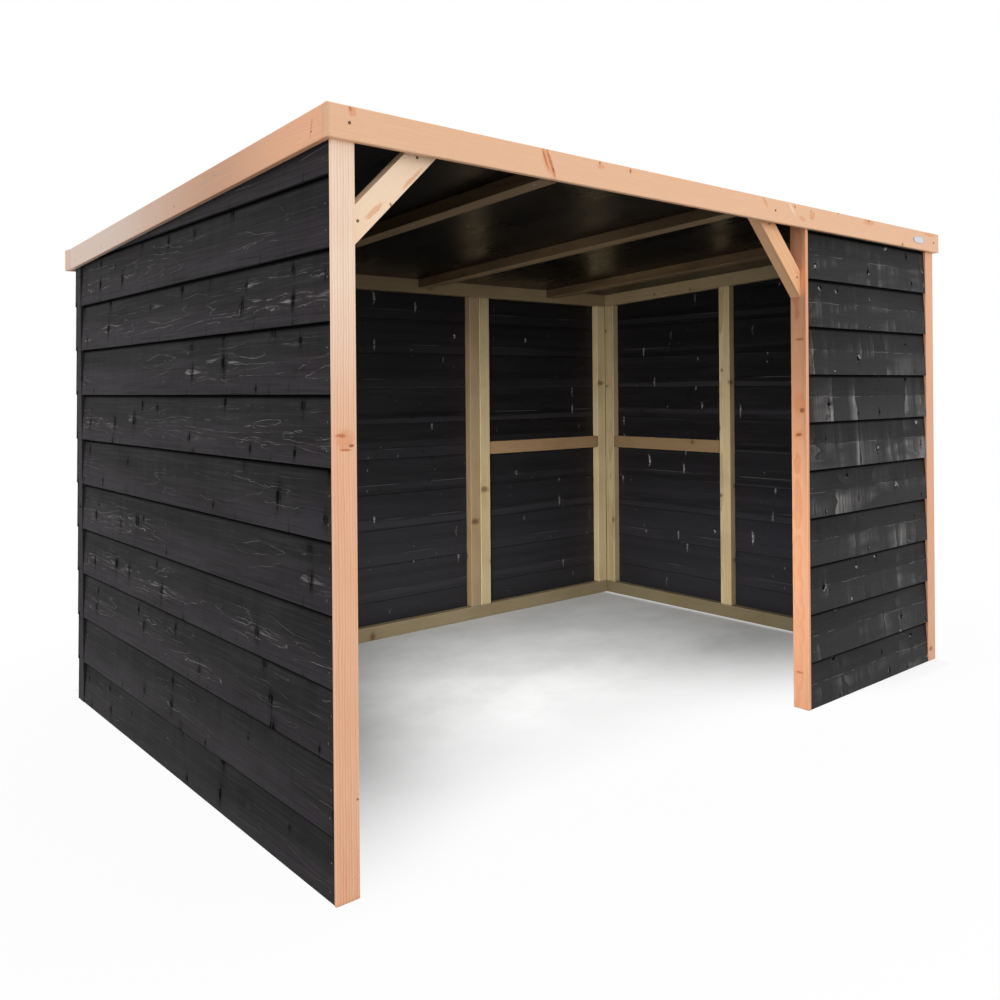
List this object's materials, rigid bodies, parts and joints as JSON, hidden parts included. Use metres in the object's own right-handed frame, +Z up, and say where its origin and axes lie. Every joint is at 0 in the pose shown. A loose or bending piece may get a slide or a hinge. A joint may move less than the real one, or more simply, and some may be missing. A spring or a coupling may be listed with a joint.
{
  "type": "field shelter",
  "caption": "Timber field shelter with black feather-edge cladding on a pine frame, a half-open front with corner braces, and a low mono-pitch roof falling to the back.",
  "frame": {"origin": "middle of the outer box's footprint, on the ground", "axes": "+X along the front from the left wall to the right wall, +Y from the open front to the back wall, +Z up"},
  "size_m": [3.176, 2.1476, 1.943],
  "materials": {
    "larch": "satin",
    "frame_pine": "matte",
    "black_boards": "satin",
    "roof_deck": "gloss",
    "name_plate": "satin"
  },
  "bodies": {
    "root": {"front_left_post": "larch", "middle_post": "larch", "front_right_post": "larch", "left_brace": "larch", "right_brace": "larch", "front_header": "frame_pine", "left_cladding": "black_boards", "right_cladding": "black_boards", "back_cladding": "black_boards", "front_panel_cladding": "black_boards", "rear_left_batten": "black_boards", "rear_right_batten": "black_boards", "left_bottom_plate": "frame_pine", "left_top_plate": "frame_pine", "left_front_stud": "frame_pine", "left_middle_stud": "frame_pine", "left_rear_stud": "frame_pine", "left_mid_rail": "frame_pine", "right_bottom_plate": "frame_pine", "right_top_plate": "frame_pine", "right_front_stud": "frame_pine", "right_middle_stud": "frame_pine", "right_rear_stud": "frame_pine", "right_mid_rail": "frame_pine", "back_bottom_plate": "frame_pine", "back_top_plate": "frame_pine", "back_left_end_stud": "frame_pine", "back_bay_stud": "frame_pine", "back_pair_left_stud": "frame_pine", "back_pair_right_stud": "frame_pine", "back_right_end_stud": "frame_pine", "back_mid_rail": "frame_pine", "front_panel_plate": "frame_pine", "front_panel_stud": "frame_pine", "left_rafter": "frame_pine", "middle_rafter": "frame_pine", "right_rafter": "frame_pine", "roof_deck": "roof_deck", "front_fascia": "larch", "left_fascia": "larch", "right_fascia": "larch", "left_fascia_return": "larch", "right_fascia_return": "larch", "back_fascia": "larch", "name_plate": "name_plate"}
  },
  "joints": []
}
